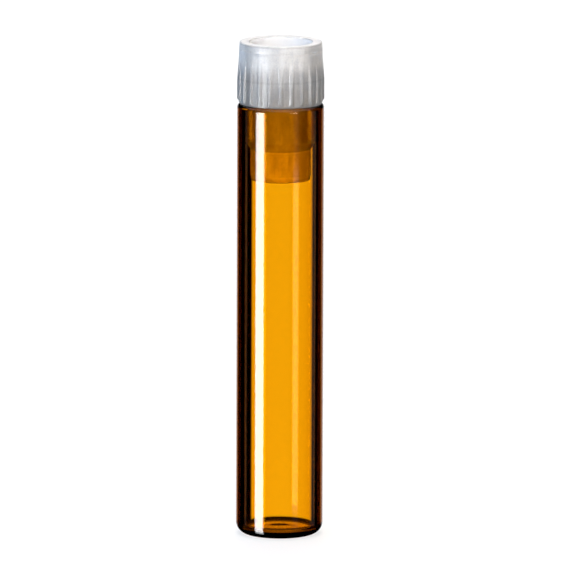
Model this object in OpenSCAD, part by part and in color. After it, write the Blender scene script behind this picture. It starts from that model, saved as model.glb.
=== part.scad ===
// Shell vial of amber glass with a push-in polyethylene plug.
// Millimetres. +Z is up. The origin is on the vial's axis, in the plane that it stands on.

/* [Vial] */
// Outer diameter of the glass tube
vial_d = 8.0; // [7:0.1:12]
// Height of the glass, from the plane it stands on to the top of its rim
vial_h = 40.0; // [25:0.5:60]
// Thickness of the tube wall
vial_wall = 0.75; // [0.5:0.05:1]
// Radius of the heel, where the wall turns into the base
heel_r = 1.15; // [0.9:0.05:1.3]
// Width of the flat ring that the vial stands on
foot_w = 1.0; // [0.5:0.05:1.2]
// Height of the push-up inside that ring
push_up = 0.18; // [0.1:0.02:0.3]
// Height of the floor above the plane it stands on
base_t = 0.7; // [0.6:0.05:1.2]
// Radius of the inside corner, where the bore meets the floor
floor_r = 0.4; // [0.4:0.05:1]
// Radius of the dimple in the middle of the floor
dimple_r = 1.0; // [0.6:0.1:1.2]
// Depth of the dimple in the middle of the floor
dimple_h = 0.04; // [0.03:0.01:0.2]

/* [Plug head] */
// Height of the head above the rim of the glass
head_h = 5.7; // [5:0.1:8]
// How far the head between its ribs stands back from the glass, on the radius
head_back = 0.16; // [0.16:0.02:0.3]
// How far the head draws in from the collar's foot to its top edge, on the radius
collar_in = 0.06; // [0.02:0.01:0.15]
// Height of the plain collar above the ribbed part
collar_h = 0.7; // [0.4:0.1:1]
// Number of ribs round the head
rib_count = 24; // [16:1:28]
// Radius of a rib's rounded back
rib_r = 0.24; // [0.18:0.01:0.28]
// How far the ribs stand out from the head
rib_h = 0.15; // [0.09:0.02:0.15]
// Height of the ribs' lower ends above the underside of the head
rib_foot = 0.25; // [0.15:0.05:0.5]
// Height at which the ribs start to run out into the head
rib_run_low = 2.2; // [1.5:0.1:3]
// Height at which the ribs have run out
rib_run_top = 4.3; // [3.5:0.1:4.3]
// Thickness of the head's wall round the recess in its top
head_wall = 0.98; // [0.7:0.02:1.3]
// Depth of the recess in the top of the head
recess_depth = 3.0; // [2:0.1:3.4]

/* [Plug barrel] */
// Clearance between the sealing barrel and the bore of the glass, on the radius
barrel_gap = 0.03; // [0.02:0.01:0.08]
// Length of the sealing barrel below the head
barrel_h = 3.36; // [2:0.02:4.5]
// Length of the taper between the barrel and the skirt
taper_h = 0.76; // [0.4:0.02:1.2]
// How far the skirt stands back from the barrel, on the radius
skirt_back = 0.44; // [0.2:0.02:0.6]
// Depth that the plug reaches below the rim of the glass
plug_depth = 7.0; // [6.5:0.1:9]
// Length of the lead-in at the bottom of the skirt
lead_h = 0.5; // [0.3:0.05:0.7]
// How far the lead-in runs in, on the radius
lead_in = 0.1; // [0.05:0.01:0.2]
// Thickness of the skirt's wall
skirt_wall = 0.88; // [0.5:0.02:1.1]
// Height of the hollow's roof above the rim of the glass
hollow_top = 1.6; // [0.5:0.1:1.6]

/* [Hidden] */
$fn = 96;

vial_r = vial_d / 2;
bore_r = vial_r - vial_wall;
rim_r = vial_wall / 2;
foot_in_r = vial_r - heel_r - foot_w;
dome_r = (foot_in_r * foot_in_r + push_up * push_up) / (2 * push_up);
dimple_ball = (dimple_r * dimple_r + dimple_h * dimple_h) / (2 * dimple_h);
head_r = vial_r - head_back;
rib_tip_r = head_r + rib_h;
recess_r = head_r - head_wall;
barrel_r = bore_r - barrel_gap;
skirt_r = barrel_r - skirt_back;
hollow_r = skirt_r - skirt_wall;
edge = 0.12;
// how far the outline that trims the ribs stands clear of their backs
rib_clear = 0.02;

// Half section of a round block: radius r, from z0 up to z1, with its bottom corner rounded by c.
module rounded_half(r, z0, z1, c) {
    translate([0, z0]) square([r - c, z1 - z0]);
    translate([0, z0 + c]) square([r, z1 - z0 - c]);
    translate([r - c, z0 + c]) circle(r = c);
}

// Half section of the glass, in the plane x = radius, y = height.
module vial_section() {
    difference() {
        rounded_half(vial_r, 0, vial_h - rim_r, heel_r);
        rounded_half(bore_r, base_t, vial_h + 1, floor_r);
    }
    translate([vial_r - rim_r, vial_h - rim_r]) circle(r = rim_r);
}

// The glass: a straight tube with a fire-polished rim, a rounded heel and a ring-shaped foot.
module glass_vial() {
    color([0.72, 0.38, 0.03, 0.55])
    difference() {
        rotate_extrude() vial_section();
        // push-up under the base, which leaves a flat ring to stand on
        translate([0, 0, push_up - dome_r]) sphere(r = dome_r);
        // dimple left in the floor where the base was closed
        intersection() {
            translate([0, 0, base_t - dimple_h + dimple_ball]) sphere(r = dimple_ball);
            translate([0, 0, base_t - 2 * dimple_h]) cylinder(r = dimple_r + 0.2, h = 2 * dimple_h + 0.02);
        }
    }
}

// Outline of the plug between its ribs, from the bottom of the skirt to the top of the head.
module plug_outline() {
    polygon([
        [0, -plug_depth],
        [skirt_r - lead_in, -plug_depth],
        [skirt_r, -plug_depth + lead_h],
        [skirt_r, -barrel_h - taper_h],
        [barrel_r, -barrel_h],
        [barrel_r, 0],
        [head_r - edge, 0],
        [head_r, edge],
        [head_r, head_h - collar_h],
        [head_r - collar_in, head_h - edge / 2],
        [head_r - collar_in - edge / 2, head_h],
        [0, head_h]
    ]);
}

// Outline that the ribs are trimmed to: they end above the head's underside and run out into the head below its collar.
module rib_outline() {
    polygon([
        [0, rib_foot],
        [head_r, rib_foot],
        [rib_tip_r + rib_clear, rib_foot + rib_h + rib_clear],
        [rib_tip_r + rib_clear, rib_run_low],
        [head_r, rib_run_top],
        [0, rib_run_top]
    ]);
}

// One ring of upright ribs with rounded backs.
module ribs() {
    intersection() {
        for (i = [0 : rib_count - 1])
            rotate([0, 0, 360 * i / rib_count])
                translate([rib_tip_r - rib_r, 0, 0])
                    cylinder(r = rib_r, h = rib_run_top);
        rotate_extrude() rib_outline();
    }
}

// The plug: ribbed head, sealing barrel and hollow skirt, moulded in one piece.
module push_plug() {
    color([0.86, 0.88, 0.9, 0.8])
    translate([0, 0, vial_h])
    difference() {
        union() {
            rotate_extrude() plug_outline();
            ribs();
        }
        // recess in the top of the head, with a little draft
        translate([0, 0, head_h - recess_depth])
            cylinder(r1 = recess_r - 0.08, r2 = recess_r, h = recess_depth + 0.01);
        // hollow underneath, open at the bottom of the skirt
        translate([0, 0, -plug_depth - 1])
            cylinder(r = hollow_r, h = plug_depth + 1 + hollow_top);
    }
}

glass_vial();
push_plug();
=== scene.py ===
"""Looks for the amber shell vial and its push-in plug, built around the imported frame."""
import math

import bpy
import numpy as np
from mathutils import Matrix, Vector


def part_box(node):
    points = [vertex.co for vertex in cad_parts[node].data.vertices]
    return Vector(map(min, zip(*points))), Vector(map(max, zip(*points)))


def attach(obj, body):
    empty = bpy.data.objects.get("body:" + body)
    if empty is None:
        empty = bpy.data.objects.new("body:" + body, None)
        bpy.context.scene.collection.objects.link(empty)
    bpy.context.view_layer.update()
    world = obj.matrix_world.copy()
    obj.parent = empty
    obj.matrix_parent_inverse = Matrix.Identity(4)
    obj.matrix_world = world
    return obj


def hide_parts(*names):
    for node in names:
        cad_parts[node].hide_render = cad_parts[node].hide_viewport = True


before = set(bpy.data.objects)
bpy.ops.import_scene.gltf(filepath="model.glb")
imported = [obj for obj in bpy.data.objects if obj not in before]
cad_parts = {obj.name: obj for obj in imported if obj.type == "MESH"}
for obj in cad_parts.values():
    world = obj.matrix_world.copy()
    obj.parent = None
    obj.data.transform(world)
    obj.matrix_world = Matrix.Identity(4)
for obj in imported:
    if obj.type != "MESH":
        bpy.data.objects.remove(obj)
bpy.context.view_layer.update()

MM = 0.001
scene = bpy.context.scene

# ---------------------------------------------------------------- sizes, read from the frame
v_lo, v_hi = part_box("glass_vial")
p_lo, p_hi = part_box("push_plug")
R = (v_hi.x - v_lo.x) / 2 / MM  # outer radius of the glass
H = v_hi.z / MM  # height of the glass
HEAD = p_hi.z / MM - H  # height of the head above the rim
DEPTH = H - p_lo.z / MM  # depth of the plug below the rim

# the same numbers as in the part's source, in millimetres
WALL, HEEL, FOOT_W, PUSH = 0.75, 1.15, 1.0, 0.18
BASE_T, FLOOR_R, DIM_R, DIM_H = 0.7, 0.4, 1.0, 0.04
HEAD_BACK, COLLAR_IN, COLLAR_H = 0.16, 0.06, 0.7
RIBS, RIB_R, RIB_H, RUN_LOW, RUN_TOP = 24, 0.24, 0.15, 2.2, 4.3
RIB_FOOT = 0.25
HEAD_WALL, REC_DEPTH = 0.98, 3.0
GAP, BARREL_H, TAPER_H, SKIRT_BACK = 0.03, 3.36, 0.76, 0.44
LEAD_H, LEAD_IN, SKIRT_WALL, HOLLOW_TOP = 0.5, 0.1, 0.88, 1.6
BORE = R - WALL


# ---------------------------------------------------------------- mesh helpers
def arc(cx, cz, r, a0, a1, n):
    """n + 1 points of an arc in the (radius, height) plane, from angle a0 to a1 in degrees."""
    out = []
    for i in range(n + 1):
        a = math.radians(a0 + (a1 - a0) * i / n)
        out.append((cx + r * math.cos(a), cz + r * math.sin(a)))
    return out


def tidy(points, least=1e-4):
    """The same outline without points that repeat."""
    out = []
    for p in points:
        if not out or math.hypot(p[0] - out[-1][0], p[1] - out[-1][1]) > least:
            out.append(p)
    return out


def round_outline(points, radii, n=5):
    """An open outline with its inner corners rounded: radii[i] is the radius at points[i]."""
    out = [points[0]]
    for i in range(1, len(points) - 1):
        p0, p1, p2 = Vector(points[i - 1]), Vector(points[i]), Vector(points[i + 1])
        r = radii.get(i, 0)
        u, w = (p0 - p1), (p2 - p1)
        lu, lw = u.length, w.length
        u.normalize()
        w.normalize()
        ang = math.acos(max(-1, min(1, u.dot(w))))
        if r <= 0 or ang > math.pi - 1e-3:
            out.append(tuple(p1))
            continue
        cut = min(r / math.tan(ang / 2), lu * 0.48, lw * 0.48)
        rr = cut * math.tan(ang / 2)
        mid = (u + w).normalized()
        c = p1 + mid * (rr / math.sin(ang / 2))
        a, b = p1 + u * cut, p1 + w * cut
        va, vb = a - c, b - c
        t0, t1 = math.atan2(va.y, va.x), math.atan2(vb.y, vb.x)
        d = (t1 - t0 + math.pi) % (2 * math.pi) - math.pi
        for k in range(n + 1):
            t = t0 + d * k / n
            out.append((c.x + rr * math.cos(t), c.y + rr * math.sin(t)))
    out.append(points[-1])
    return tidy(out)


def split_long(points, most):
    """The outline with every stretch longer than most cut into equal lengths."""
    out = [points[0]]
    for a, b in zip(points, points[1:]):
        n = max(1, math.ceil(math.hypot(b[0] - a[0], b[1] - a[1]) / most))
        out += [(a[0] + (b[0] - a[0]) * k / n, a[1] + (b[1] - a[1]) * k / n) for k in range(1, n + 1)]
    return out


def turned(name, outline, segments, radius=None):
    """A closed solid turned about +Z from an outline that starts and ends on the axis, smooth shaded. radius(x, z,
    angle) may change each point's radius.
    """
    rings = outline[1:-1]
    count = len(rings)
    xs = np.array([p[0] for p in rings])[:, None]
    zs = np.array([p[1] for p in rings])[:, None]
    ang = (2 * np.pi * np.arange(segments) / segments)[None, :]
    rr = np.broadcast_to(xs, (count, segments)).copy()
    if radius is not None:
        rr = radius(rr, np.broadcast_to(zs, rr.shape), np.broadcast_to(ang, rr.shape))
    grid = np.stack([rr * np.cos(ang), rr * np.sin(ang), np.broadcast_to(zs, rr.shape)], -1)
    verts = np.concatenate([[[0, 0, outline[0][1]]], grid.reshape(-1, 3), [[0, 0, outline[-1][1]]]]) * MM
    end = len(verts) - 1
    s = np.arange(segments)
    t = (s + 1) % segments
    tris = [(0, 1 + b, 1 + a) for a, b in zip(s, t)]
    last = 1 + (count - 1) * segments
    tris += [(end, last + a, last + b) for a, b in zip(s, t)]
    quads = []
    for i in range(count - 1):
        lo, hi = 1 + i * segments, 1 + (i + 1) * segments
        quads += [(lo + a, lo + b, hi + b, hi + a) for a, b in zip(s.tolist(), t.tolist())]
    me = bpy.data.meshes.new(name)
    me.from_pydata(verts.tolist(), [], [tuple(int(v) for v in f) for f in tris] + quads)
    me.update()
    me.polygons.foreach_set("use_smooth", [True] * len(me.polygons))
    ob = bpy.data.objects.new(name, me)
    scene.collection.objects.link(ob)
    return ob


def true_normals(ob, outline, segments):
    """Sets each ring's normals from its outline, so that long straight walls stay optically straight."""
    pts = np.array(outline, float)
    n = np.zeros_like(pts)
    seg = np.diff(pts, axis=0)
    length = np.hypot(seg[:, 0], seg[:, 1])
    unit = seg / length[:, None]
    side = np.stack([unit[:, 1], -unit[:, 0]], -1)  # to the right of the way the outline runs
    for i in range(len(pts)):
        if i == 0 or i == len(pts) - 1:
            n[i] = (0, -1) if (i == 0) else (0, 1)
            continue
        a, b = side[i - 1], side[i]
        # the shorter stretch belongs to a curve and the longer one to a straight wall, which keeps its own direction
        la, lb = length[i - 1], length[i]
        if la > 4 * lb:
            n[i] = a
        elif lb > 4 * la:
            n[i] = b
        else:
            n[i] = a / la + b / lb
    n /= np.hypot(n[:, 0], n[:, 1])[:, None]
    ang = 2 * np.pi * np.arange(segments) / segments
    rings = n[1:-1]
    nx = rings[:, 0][:, None] * np.cos(ang)[None, :]
    ny = rings[:, 0][:, None] * np.sin(ang)[None, :]
    nz = np.broadcast_to(rings[:, 1][:, None], nx.shape)
    full = np.concatenate([[[0, 0, n[0][1]]], np.stack([nx, ny, nz], -1).reshape(-1, 3), [[0, 0, n[-1][1]]]])
    ob.data.normals_split_custom_set_from_vertices(full.tolist())


# ---------------------------------------------------------------- the glass
foot_in = R - HEEL - FOOT_W
dome = (foot_in**2 + PUSH**2) / (2 * PUSH)
ball = (DIM_R**2 + DIM_H**2) / (2 * DIM_H)
outside = []
for i in range(13):  # push-up, from the axis out to the foot
    x = foot_in * i / 12
    outside.append((x, PUSH - dome + math.sqrt(dome**2 - x**2)))
outside.append((R - HEEL, 0.0))
outside += arc(R - HEEL, HEEL, HEEL, -90, 0, 28)
outside += arc(R - WALL / 2, H - WALL / 2, WALL / 2, 0, 180, 32)
inside = arc(BORE - FLOOR_R, BASE_T + FLOOR_R, FLOOR_R, 0, -90, 24)
inside.append((DIM_R + 0.25, BASE_T))
for i in range(13):
    x = DIM_R * (1 - i / 12)
    inside.append((x, BASE_T - DIM_H + ball - math.sqrt(ball**2 - x**2)))
glass_line = tidy(outside + inside)
glass = turned("vial_glass", glass_line, 320)
true_normals(glass, glass_line, 320)
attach(glass, "vial")
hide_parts("glass_vial")


# ---------------------------------------------------------------- the plug
barrel = BORE - GAP
skirt = barrel - SKIRT_BACK
hollow = skirt - SKIRT_WALL
head = R - HEAD_BACK
rec = head - HEAD_WALL
edge = 0.12
pts = [
    (0, HOLLOW_TOP),
    (hollow, HOLLOW_TOP),
    (hollow, -DEPTH),
    (skirt - LEAD_IN, -DEPTH),
    (skirt, -DEPTH + LEAD_H),
    (skirt, -BARREL_H - TAPER_H),
    (barrel, -BARREL_H),
    (barrel, 0),
    (head - edge, 0),
    (head, edge),
    (head, RIB_FOOT),
    (head, RIB_FOOT + 0.08),
    (head, RIB_FOOT + 0.17),
    (head, HEAD - COLLAR_H - 0.05),
    (head - 0.04, HEAD - COLLAR_H),
    (head - 0.01, HEAD - COLLAR_H + 0.05),
    (head - COLLAR_IN, HEAD - edge / 2),
    (head - COLLAR_IN - edge / 2, HEAD),
    (rec, HEAD),
    (rec - 0.08, HEAD - REC_DEPTH),
    (0, HEAD - REC_DEPTH),
]
line = round_outline(
    pts,
    {1: 0.3, 2: 0.05, 3: 0.08, 4: 0.25, 5: 0.06, 6: 0.3, 7: 0.02, 8: 0.06, 9: 0.06, 14: 0.02, 16: 0.08, 17: 0.08, 18: 0.1, 19: 0.25},
)
line = split_long(line, 0.3)
line = [(x, z + H) for x, z in line]


def rib_radius(x, z, a):
    """Adds the ribs to the head's outside."""
    h = z - H
    on = (x >= head - edge * 1.5) & (h > -1e-6) & (h < RUN_TOP)
    tip = np.where(h < RIB_FOOT + 0.17, np.clip(h - RIB_FOOT, 0, 0.17) / 0.17 * RIB_H, RIB_H)
    tip = np.where(h > RUN_LOW, RIB_H * (1 - (h - RUN_LOW) / (RUN_TOP - RUN_LOW)), tip)
    pitch = 2 * math.pi / RIBS
    off = (a + pitch / 2) % pitch - pitch / 2
    c = head + RIB_H - RIB_R  # centre of the rib's back
    under = RIB_R**2 - (c * np.sin(off)) ** 2
    back = c * np.cos(off) + np.sqrt(np.maximum(under, 0))
    grow = np.where(under > 0, np.maximum(0, back - head), 0)
    return x + np.where(on, np.minimum(grow, tip), 0)


plug = turned("plug_moulding", line, 24 * 20, rib_radius)
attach(plug, "plug")
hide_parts("push_plug")


# ---------------------------------------------------------------- materials
def material(name):
    m = bpy.data.materials.new(name)
    m.use_nodes = True
    nt = m.node_tree
    return m, nt, nt.nodes["Principled BSDF"], nt.nodes["Material Output"]


amber, nt, p, out = material("amber_glass")
p.inputs["Base Color"].default_value = (1, 1, 1, 1)
p.inputs["Transmission Weight"].default_value = 1.0
p.inputs["IOR"].default_value = 1.52
p.inputs["Roughness"].default_value = 0.0
# painted shade: Layer Weight ramps the glass's colour to nearly black where the wall is seen at a slant, and lighter
# again at its very edge
lw = nt.nodes.new("ShaderNodeLayerWeight")
lw.inputs["Blend"].default_value = 0.5
painted_edge_shade = nt.nodes.new("ShaderNodeValToRGB")
painted_edge_shade.color_ramp.elements[0].position, painted_edge_shade.color_ramp.elements[0].color = 0.46, (1, 1, 1, 1)
painted_edge_shade.color_ramp.elements[1].position, painted_edge_shade.color_ramp.elements[1].color = 0.64, (0.03, 0.025, 0.03, 1)
for at, value in ((0.7, 0.16), (0.8, 0.12), (1.0, 0.6)):
    painted_edge_shade.color_ramp.elements.new(at).color = (value, value * 0.9, value, 1)
nt.links.new(lw.outputs["Facing"], painted_edge_shade.inputs["Fac"])
# painted shade: the glass of the solid heel, outside 3.35 mm from the axis and below about 0.9 mm, is painted nearly
# black
spot = nt.nodes.new("ShaderNodeSeparateXYZ")
nt.links.new(nt.nodes.new("ShaderNodeTexCoord").outputs["Object"], spot.inputs[0])


def glass_math(op, x, y):
    n = nt.nodes.new("ShaderNodeMath")
    n.operation = op
    for i, v in enumerate((x, y)):
        if isinstance(v, float):
            n.inputs[i].default_value = v
        else:
            nt.links.new(v, n.inputs[i])
    return n.outputs[0]


round_x = glass_math("MULTIPLY", spot.outputs[0], spot.outputs[0])
round_y = glass_math("MULTIPLY", spot.outputs[1], spot.outputs[1])
rim_zone = glass_math("GREATER_THAN", glass_math("ADD", round_x, round_y), (3.35 * MM) ** 2)
low = nt.nodes.new("ShaderNodeMapRange")
low.inputs["From Min"].default_value, low.inputs["From Max"].default_value = 0.72 * MM, 0.94 * MM
low.inputs["To Min"].default_value, low.inputs["To Max"].default_value = 1.0, 0.0
nt.links.new(spot.outputs[2], low.inputs["Value"])
heel_shade_factor = glass_math("SUBTRACT", 1.0, glass_math("MULTIPLY", glass_math("MULTIPLY", rim_zone, low.outputs["Result"]), 0.998))
# faint lengthwise waves left by drawing the tube
drawn = nt.nodes.new("ShaderNodeVectorMath")
drawn.operation = "MULTIPLY"
drawn.inputs[1].default_value = (450.0, 450.0, 12.0)
nt.links.new(spot.inputs[0].links[0].from_socket, drawn.inputs[0])
waves = nt.nodes.new("ShaderNodeTexNoise")
waves.inputs["Scale"].default_value, waves.inputs["Detail"].default_value = 1.0, 2.0
nt.links.new(drawn.outputs[0], waves.inputs["Vector"])
ripple = nt.nodes.new("ShaderNodeBump")
ripple.inputs["Strength"].default_value, ripple.inputs["Distance"].default_value = 1.0, 0.0000015
nt.links.new(waves.outputs[0], ripple.inputs["Height"])
nt.links.new(ripple.outputs[0], p.inputs["Normal"])
# the painted edge shade and the painted heel shade, joined into the glass's colour
painted_glass_shade = nt.nodes.new("ShaderNodeVectorMath")
painted_glass_shade.operation = "SCALE"
nt.links.new(painted_edge_shade.outputs["Color"], painted_glass_shade.inputs[0])
nt.links.new(heel_shade_factor, painted_glass_shade.inputs["Scale"])
nt.links.new(painted_glass_shade.outputs[0], p.inputs["Base Color"])
va = nt.nodes.new("ShaderNodeVolumeAbsorption")
va.inputs["Color"].default_value = (0.929, 0.788, 0.0, 1)
va.inputs["Density"].default_value = 4250
nt.links.new(va.outputs[0], out.inputs["Volume"])
glass.data.materials.append(amber)

pe, nt, p, out = material("natural_polyethylene")
p.inputs["IOR"].default_value = 1.51
p.inputs["Subsurface Weight"].default_value = 1.0
p.inputs["Subsurface Radius"].default_value = (1.0, 1.0, 1.0)
p.inputs["Subsurface Scale"].default_value = 0.0005


def node(kind, **sockets):
    """A shader node with its input values, or the outputs that feed them."""
    n = nt.nodes.new(kind)
    for key, v in sockets.items():
        socket = n.inputs[int(key[1:])] if key[0] == "i" and key[1:].isdigit() else n.inputs[key.replace("_", " ")]
        if hasattr(v, "links"):
            nt.links.new(v, socket)
        else:
            socket.default_value = v
    return n


def noise(vector, scale, detail, rough=0.5):
    return node("ShaderNodeTexNoise", Vector=vector, Scale=scale, Detail=detail, Roughness=rough).outputs[0]


def spread(x, lo, hi, to_lo, to_hi):
    """x from lo to hi becomes to_lo to to_hi."""
    n = node("ShaderNodeMapRange")
    n.interpolation_type = "SMOOTHSTEP"
    for k, v in (("From Min", lo), ("From Max", hi), ("To Min", to_lo), ("To Max", to_hi)):
        n.inputs[k].default_value = v
    nt.links.new(x, n.inputs["Value"])
    return n.outputs["Result"]


def sums(op, x, y):
    n = node("ShaderNodeMath")
    n.operation = op
    for i, v in enumerate((x, y)):
        if isinstance(v, (int, float)):
            n.inputs[i].default_value = v
        else:
            nt.links.new(v, n.inputs[i])
    return n.outputs[0]


def stretched(vector, sx, sy, sz):
    n = node("ShaderNodeVectorMath", i0=vector, i1=(sx, sy, sz))
    n.operation = "MULTIPLY"
    return n.outputs[0]


place = node("ShaderNodeTexCoord").outputs["Object"]
mm = stretched(place, 1000, 1000, 1000)
height = node("ShaderNodeSeparateXYZ", Vector=mm).outputs[2]
cloud = noise(stretched(mm, 1, 1, 0.7), 1.1, 4.0, 0.6)  # milky unevenness inside the plastic
flow = noise(stretched(mm, 2.2, 2.2, 0.25), 1.0, 3.0, 0.6)  # upright flow marks
grain = noise(mm, 7.0, 3.0, 0.6)
turning = noise(stretched(mm, 0.02, 0.02, 3.2), 1.0, 3.0, 0.65)  # faint rings left by the mould's turned core
milk = sums("ADD", sums("ADD", sums("MULTIPLY", cloud, 0.35), sums("MULTIPLY", flow, 0.35)), sums("MULTIPLY", grain, 0.3))
tint = node("ShaderNodeValToRGB", Fac=spread(milk, 0.36, 0.64, 0.0, 1.0))
tint.color_ramp.elements[0].color = (0.72, 0.73, 0.75, 1)
tint.color_ramp.elements[1].color = (0.99, 0.99, 0.985, 1)
tint.color_ramp.elements.new(0.55).color = (0.9, 0.885, 0.87, 1)
# painted light: the base colour is lighter at the top of the head, round its recess and on the skirt, standing in for
# light through the thin walls
across = node("ShaderNodeVectorMath", i0=stretched(mm, 1, 1, 0))
across.operation = "LENGTH"
painted_floor_line = sums("MULTIPLY", spread(height, H + 2.2, H + 2.3, 0.0, 0.08), spread(height, H + 2.4, H + 2.5, 1.0, 0.0))  # a painted dark line where the edge of the recess's floor would show through the wall
# painted light and shade: the head is painted lighter towards its top and a little darker towards its foot
painted_top_light = sums("SUBTRACT", sums("MULTIPLY", spread(height, H + 2.4, H + 4.2, 0.6, 1.0), spread(height, H + 0.2, H + 3.0, 0.94, 1.0)), painted_floor_line)
# painted shade and light: the barrel and taper are painted darker than the skirt, with a painted glow fading up from
# the taper's foot
under = spread(height, H - BARREL_H - TAPER_H - 0.05, H - BARREL_H - TAPER_H + 0.05, 1.0, 0.75)
painted_taper_glow = sums("MULTIPLY", sums("GREATER_THAN", height, H - BARREL_H - TAPER_H), spread(height, H - BARREL_H - TAPER_H, H - BARREL_H + 0.6, 0.3, 0.0))
under = sums("ADD", under, painted_taper_glow)
# painted highlights: lighter bands at the skirt's upper corner and at the top of its lead-in
for lo, hi in ((H - BARREL_H - TAPER_H - 0.18, H - BARREL_H - TAPER_H - 0.02), (H - DEPTH + 0.32, H - DEPTH + 0.54)):
    under = sums("ADD", under, sums("MULTIPLY", sums("MULTIPLY", sums("GREATER_THAN", height, lo), sums("LESS_THAN", height, hi)), 0.2))
painted_lip_line = sums("MULTIPLY", sums("GREATER_THAN", height, H + HEAD - 0.14), sums("LESS_THAN", across.outputs["Value"], rec + 0.09))  # painted shade: a grey line round the inner edge of the rim
in_recess = sums("MULTIPLY", sums("GREATER_THAN", height, H + HEAD - REC_DEPTH - 0.1), sums("LESS_THAN", across.outputs["Value"], rec + 0.02))
# painted shade: the top face and its outer corner are painted greyer
painted_top_shade = sums("MULTIPLY", sums("GREATER_THAN", height, H + HEAD - 0.05), 0.15)
corner = sums("MULTIPLY", sums("GREATER_THAN", height, H + HEAD - 0.16), sums("GREATER_THAN", across.outputs["Value"], head - COLLAR_IN - 0.13))
painted_top_shade = sums("ADD", painted_top_shade, sums("MULTIPLY", corner, 0.25))
# painted light and shade on the head: the recess is painted lighter, the inner lip, the top face and its corner greyer
painted_top_light = sums("MULTIPLY", painted_top_light, sums("SUBTRACT", sums("ADD", sums("MULTIPLY", in_recess, 0.3), 1.0), sums("ADD", sums("MULTIPLY", painted_lip_line, 0.4), painted_top_shade)))
# painted light and shade above the rim and below it, joined; it scales the plastic's base colour
painted_tone = sums("MAXIMUM", sums("MULTIPLY", painted_top_light, spread(height, H - 0.05, H + 0.05, 0.0, 1.0)), sums("MULTIPLY", under, spread(height, H - 0.05, H + 0.05, 1.0, 0.0)))
shade = node("ShaderNodeVectorMath", i0=tint.outputs["Color"])
shade.operation = "SCALE"
nt.links.new(painted_tone, shade.inputs["Scale"])
nt.links.new(shade.outputs[0], p.inputs["Base Color"])
edge_on = node("ShaderNodeLayerWeight", Blend=0.5).outputs["Facing"]
clear_head = sums("MULTIPLY", sums("ADD", spread(edge_on, 0.12, 0.32, 0.35, 0.62), spread(edge_on, 0.42, 0.65, 0.0, -0.22)), spread(height, H - 0.1, H + 0.1, 0.0, 1.0))
clear_under = sums("MULTIPLY", spread(height, H - BARREL_H - TAPER_H - 0.05, H - BARREL_H - TAPER_H + 0.05, 0.6, 0.75), spread(height, H - 0.1, H + 0.1, 1.0, 0.0))
outer = spread(across.outputs["Value"], rec + 0.02, rec + 0.12, 0.6, 1.0)
clear_head = sums("MULTIPLY", sums("MULTIPLY", clear_head, outer), spread(height, H + HEAD - 0.06, H + HEAD - 0.02, 1.0, 0.5))
nt.links.new(sums("ADD", clear_head, clear_under), p.inputs["Transmission Weight"])
above_rim = sums("GREATER_THAN", height, H)
zones = sums("ADD", sums("ADD", sums("MULTIPLY", above_rim, 0.152), sums("MULTIPLY", in_recess, 0.25)), 0.11)
nt.links.new(sums("ADD", sums("ADD", sums("MULTIPLY", flow, 0.05), sums("MULTIPLY", grain, 0.04)), zones), p.inputs["Roughness"])
rings = sums("MULTIPLY", turning, spread(height, H - 0.2, H + 0.1, 1.0, 0.0))
uneven = sums("ADD", sums("MULTIPLY", flow, 0.6), sums("MULTIPLY", rings, 0.6))
bump = node("ShaderNodeBump", Strength=0.6, Distance=0.00006, Height=uneven)
nt.links.new(bump.outputs[0], p.inputs["Normal"])
plug.data.materials.append(pe)

# ---------------------------------------------------------------- floor
bpy.ops.mesh.primitive_circle_add(vertices=96, radius=6.0, fill_type="NGON", location=(0, 0, 0))
floor = bpy.context.object
floor.name = "floor"
fm, nt, p, out = material("floor_paper")
p.inputs["Base Color"].default_value = (0.18, 0.18, 0.18, 1)
p.inputs["Roughness"].default_value = 0.9
p.inputs["Specular IOR Level"].default_value = 0.0
p.inputs["Emission Color"].default_value = (1, 1, 1, 1)
p.inputs["Emission Strength"].default_value = 0.76
floor.data.materials.append(fm)
floor.visible_glossy = False
floor.visible_transmission = False

# ---------------------------------------------------------------- studio light
world = bpy.data.worlds.new("studio")
scene.world = world
world.use_nodes = True
wt = world.node_tree
bg = wt.nodes["Background"]
coord = wt.nodes.new("ShaderNodeTexCoord")
sep = wt.nodes.new("ShaderNodeSeparateXYZ")
wt.links.new(coord.outputs["Generated"], sep.inputs[0])


def calc(op, a, b=None, c=None):
    n = wt.nodes.new("ShaderNodeMath")
    n.operation = op
    for i, v in enumerate((a, b, c)):
        if v is None:
            continue
        if isinstance(v, (int, float)):
            n.inputs[i].default_value = v
        else:
            wt.links.new(v, n.inputs[i])
    return n.outputs[0]


# bearing from +Y towards +X, in degrees, and the angle below the horizon
bearing = calc("MULTIPLY", calc("ARCTAN2", sep.outputs[0], sep.outputs[1]), 180 / math.pi)
down = calc("MULTIPLY", calc("ARCSINE", sep.outputs[2]), -180 / math.pi)


def ramp(x, lo, hi):
    """0 below lo and 1 above hi, smooth between."""
    n = wt.nodes.new("ShaderNodeMapRange")
    n.interpolation_type = "SMOOTHSTEP"
    n.inputs["From Min"].default_value = lo
    n.inputs["From Max"].default_value = hi
    wt.links.new(x, n.inputs["Value"])
    return n.outputs["Result"]


def band(x, lo, hi, soft):
    """1 between lo and hi."""
    return calc("MULTIPLY", ramp(x, lo - soft / 2, lo + soft / 2), calc("SUBTRACT", 1.0, ramp(x, hi - soft / 2, hi + soft / 2)))


def turned_bearing(centre):
    """The bearing counted from centre, from -180 to 180."""
    n = wt.nodes.new("ShaderNodeMath")
    n.operation = "WRAP"
    wt.links.new(calc("SUBTRACT", bearing, centre), n.inputs[0])
    n.inputs[1].default_value = 180
    n.inputs[2].default_value = -180
    return n.outputs[0]


def add(*parts):
    total = parts[0]
    for p in parts[1:]:
        total = calc("ADD", total, p)
    return total


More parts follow.
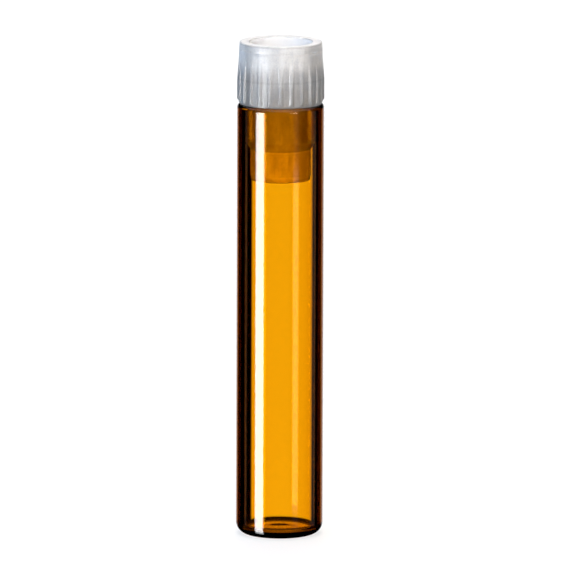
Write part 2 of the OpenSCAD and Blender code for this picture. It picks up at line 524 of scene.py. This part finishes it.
# What is seen through the glass: a bright panel behind the vial for each height of the camera, with its bearing, its lowest and highest angle below the horizon, and the same above it.
PANELS = [
    (0, 5.8, 12.8, 1.0, 14.0),
    (0, 0.6, 5.4, 50.5, 51.0),
    (-90, 0.6, 5.4, 0.5, 5.8),
    (135, 13.0, 17.0, 14.0, 20.0),
    (-45, 22.6, 27.4, 20.0, 40.0),
]
UP = 1.3
LOW, LOWEST = 0.12, 0.35  # weak light from the bright floor, on all sides
# (lowest and highest bearing, softness at each, strength), counted from the panel's own bearing
BACK = (-12.3, 20.0, 3.0, 6.5, 1.64)
# the strip light beside the camera and a warm fill below the panel, both seen through the glass of the base
STRIP = (-135.5, -112.0, 5.0, 5.0, 15.0)
FILL = (-12.3, 19.2, 3.0, 7.0, 0.52)
# What the outside of the glass mirrors: strip lights and weak fill, with their lowest and highest angle below the horizon
MIRRORED = [
    (129.0, 145.0, 5.0, 5.0, 0.1, -1.0, 20.0),
    (4.0, 36.0, 6.0, 8.0, 0.3, -1.0, 13.0),
    (-82.0, -74.0, 4.0, 4.0, 0.1, -1.0, 13.0),
    (72.0, 92.0, 4.0, 4.0, 0.15, -1.0, 13.0),
    (134.5, 158.0, 5.0, 5.0, 19.0, 1.0, 5.1),
]
# strength of the light from above for rays through the glass, for mirrored rays and for all others
TOP_THROUGH, TOP_MIRRORED, TOP = 0.3, 1.1, 1.3
STEEP = 1.4  # extra light from straight above
LIT_TOP, LIT_LOW = 5.4, 4.2  # light that the plug gets through the glass
CROSSED = 2.5  # the panel behind, as seen through the glass and the plug
STRAIGHT = 6.5  # light behind the plug's head


def panel(b, lo, hi, s0, s1, k):
    return calc("MULTIPLY", calc("MULTIPLY", ramp(b, lo - s0 / 2, lo + s0 / 2), calc("SUBTRACT", 1.0, ramp(b, hi - s1 / 2, hi + s1 / 2))), k)


path = wt.nodes.new("ShaderNodeLightPath")
through = path.outputs["Is Transmission Ray"]
singular = path.outputs["Is Singular Ray"]
# rays that cross the plug: straight out of it, or out through the glass as well
straight = calc("MULTIPLY", through, calc("SUBTRACT", 1.0, singular))
spread_out = calc("MINIMUM", calc("ADD", path.outputs["Diffuse Depth"], calc("GREATER_THAN", path.outputs["Transmission Depth"], 5.5)), 1.0)
lit = calc("MULTIPLY", calc("MULTIPLY", through, singular), spread_out)
crossed = calc("MULTIPLY", lit, calc("LESS_THAN", path.outputs["Diffuse Depth"], 0.5))
lit = calc("SUBTRACT", lit, crossed)
direct = calc("MULTIPLY", calc("MULTIPLY", through, singular), calc("SUBTRACT", 1.0, spread_out))
mirrored = calc("MULTIPLY", path.outputs["Is Glossy Ray"], calc("SUBTRACT", 1.0, through))  # a ray bent by glass counts as glossy too
other = calc("SUBTRACT", calc("SUBTRACT", calc("SUBTRACT", 1.0, through), mirrored), path.outputs["Is Camera Ray"])
up = calc("MULTIPLY", down, -1.0)
seen, warm = [], []
for centre, lo, hi, up_lo, up_hi in PANELS:
    b = turned_bearing(centre)
    back = panel(b, *BACK)
    seen.append(calc("MULTIPLY", back, band(down, lo, hi, 0.3)))
    warm.append(calc("MULTIPLY", calc("MULTIPLY", back, band(up, up_lo, up_hi, 1.0)), UP))
warm.append(calc("MULTIPLY", panel(bearing, *FILL), band(down, 12.8, 60.0, 8.0)))
warm.append(add(calc("MULTIPLY", ramp(down, 14.0, 24.0), LOW), calc("MULTIPLY", ramp(down, 35.0, 55.0), LOWEST)))
seen.append(calc("MULTIPLY", panel(bearing, *STRIP), band(down, 5.8, 12.8, 0.3)))
seen.append(calc("MULTIPLY", ramp(up, 14.0, 20.0), TOP_THROUGH))
glints = [calc("MULTIPLY", panel(bearing, *row[:5]), band(down, row[5], row[6], 2.0)) for row in MIRRORED]
glints.append(calc("MULTIPLY", panel(bearing, 131.5, 145.5, 5.0, 5.0, 0.8), calc("MULTIPLY", ramp(down, 9.3, 9.4), calc("SUBTRACT", 1.0, ramp(down, 10.69, 10.77)))))  # from the plug down to the floor of the vial
sky = ramp(up, 3.0, 8.0)
glints.append(calc("MULTIPLY", ramp(up, 30.0, 50.0), TOP_MIRRORED))
# The strip light, bent forwards below the horizon so that its glint runs straight down the wall and the heel. Its width is given across the glass: 0 at the middle of the wall, 1 at its left edge.
ahead = calc("SUBTRACT", sep.outputs[1], 0.985)
reach = calc("SQRT", calc("ADD", calc("MULTIPLY", sep.outputs[0], sep.outputs[0]), calc("MULTIPLY", ahead, ahead)))
over = calc("DIVIDE", calc("MULTIPLY", sep.outputs[0], -1.0), calc("MAXIMUM", reach, 0.001))
# It fades down the heel and ends half way round it, where reach has fallen to 1.
glints.append(calc("MULTIPLY", calc("MULTIPLY", panel(over, 0.379, 0.559, 0.04, 0.04, 19.0), calc("MULTIPLY", ramp(reach, 0.95, 1.1), ramp(down, 4.6, 7.0))), calc("ADD", 0.3, calc("MULTIPLY", ramp(reach, 1.1, 1.6), 0.7))))
glints.append(calc("MULTIPLY", panel(bearing, -24.0, 24.0, 16.0, 16.0, 1.0), band(down, -4.0, 16.0, 4.0)))
sideways = sep.outputs[0]  # 1 to the right and -1 to the left
above = calc("MULTIPLY", sky, calc("ADD", calc("MULTIPLY", ramp(up, 30.0, 65.0), STEEP), TOP))


def source(colour, strength, first):
    """Adds a background of one colour to those before it."""
    n = wt.nodes.new("ShaderNodeBackground")
    n.inputs["Color"].default_value = (*colour, 1)
    wt.links.new(strength, n.inputs["Strength"])
    if first is None:
        return n.outputs[0]
    both = wt.nodes.new("ShaderNodeAddShader")
    wt.links.new(first, both.inputs[0])
    wt.links.new(n.outputs[0], both.inputs[1])
    return both.outputs[0]


light = source((1, 1, 1), calc("MULTIPLY", add(*seen), direct), None)
light = source((1, 1, 1), path.outputs["Is Camera Ray"], light)  # the pale wall beyond the floor
light = source((1.0, 0.66, 0.5), calc("MULTIPLY", add(*warm), direct), light)
light = source((0.97, 0.985, 1.0), calc("MULTIPLY", add(*glints), mirrored), light)
flagged = calc("MULTIPLY", calc("POWER", calc("SUBTRACT", 1.1, calc("ABSOLUTE", sideways)), 5.0), 1.95)  # dark flags at both sides
sides = calc("MULTIPLY", above, 0.62)
above = calc("MULTIPLY", above, flagged)
left = ramp(calc("MULTIPLY", sideways, -1.0), 0.1, 0.6)
light = source((0.0, 0.55, 1.1), calc("MULTIPLY", calc("MULTIPLY", above, left), other), light)
light = source((1.2, 1.07, 0.94), calc("MULTIPLY", calc("MULTIPLY", above, calc("SUBTRACT", calc("SUBTRACT", 1.0, left), calc("MULTIPLY", ramp(sideways, 0.2, 0.7), 0.4))), other), light)
light = source((0.0, 0.42, 1.0), calc("MULTIPLY", calc("MULTIPLY", sides, left), other), light)  # a cool panel at the left
behind = calc("MULTIPLY", calc("MULTIPLY", calc("ADD", calc("MULTIPLY", sky, 0.3), STRAIGHT), calc("SUBTRACT", 1.0, calc("MULTIPLY", ramp(calc("ABSOLUTE", sideways), 0.06, 0.3), 0.97))), straight)
light = source((0.0, 0.45, 1.0), calc("MULTIPLY", calc("MULTIPLY", left, straight), 0.35), light)
light = source((0.55, 0.8, 1.0), calc("MULTIPLY", behind, calc("SUBTRACT", 0.5, calc("MULTIPLY", sideways, 0.5))), light)
light = source((1.3, 1.07, 0.9), calc("MULTIPLY", behind, calc("ADD", 0.5, calc("MULTIPLY", sideways, 0.5))), light)
light = source((1.0, 0.8, 0.4), calc("MULTIPLY", calc("MULTIPLY", panel(bearing, -20.0, 26.0, 12.0, 12.0, CROSSED), band(down, -10.0, 22.0, 6.0)), crossed), light)
deep = calc("POWER", calc("SUBTRACT", 1.1, calc("ABSOLUTE", sideways)), 4.0)
light = source((1.0, 0.75, 0.3), calc("MULTIPLY", calc("MULTIPLY", calc("ADD", calc("MULTIPLY", sky, LIT_TOP - LIT_LOW), LIT_LOW), deep), lit), light)
wt.links.new(light, wt.nodes["World Output"].inputs["Surface"])

# ---------------------------------------------------------------- camera
ELEV, DIST, ROLL = 9.8, 1.3, 0.195
target = Vector((0.000036, 0, 0.02352))
el = math.radians(ELEV)
cam_data = bpy.data.cameras.new("camera")
cam = bpy.data.objects.new("camera", cam_data)
scene.collection.objects.link(cam)
back_v = Vector((0, -math.cos(el), math.sin(el)))
cam.location = target + back_v * DIST
rot = back_v.to_track_quat("Z", "Y")
cam.rotation_euler = (rot.to_matrix().to_4x4() @ Matrix.Rotation(math.radians(ROLL), 4, "Z")).to_euler()
cam_data.sensor_width = 36
cam_data.lens = 36 / (561 / 10.91 * MM) * DIST
cam_data.clip_start = 0.05
cam_data.clip_end = 50
scene.camera = cam

scene.view_settings.view_transform = "Standard"
scene.view_settings.look = "None"
scene.cycles.max_bounces = 24
scene.cycles.transmission_bounces = 24
scene.cycles.glossy_bounces = 8
scene.cycles.volume_bounces = 12
scene.cycles.use_denoising = True
scene.cycles.caustics_reflective = False
scene.cycles.blur_glossy = 0.0
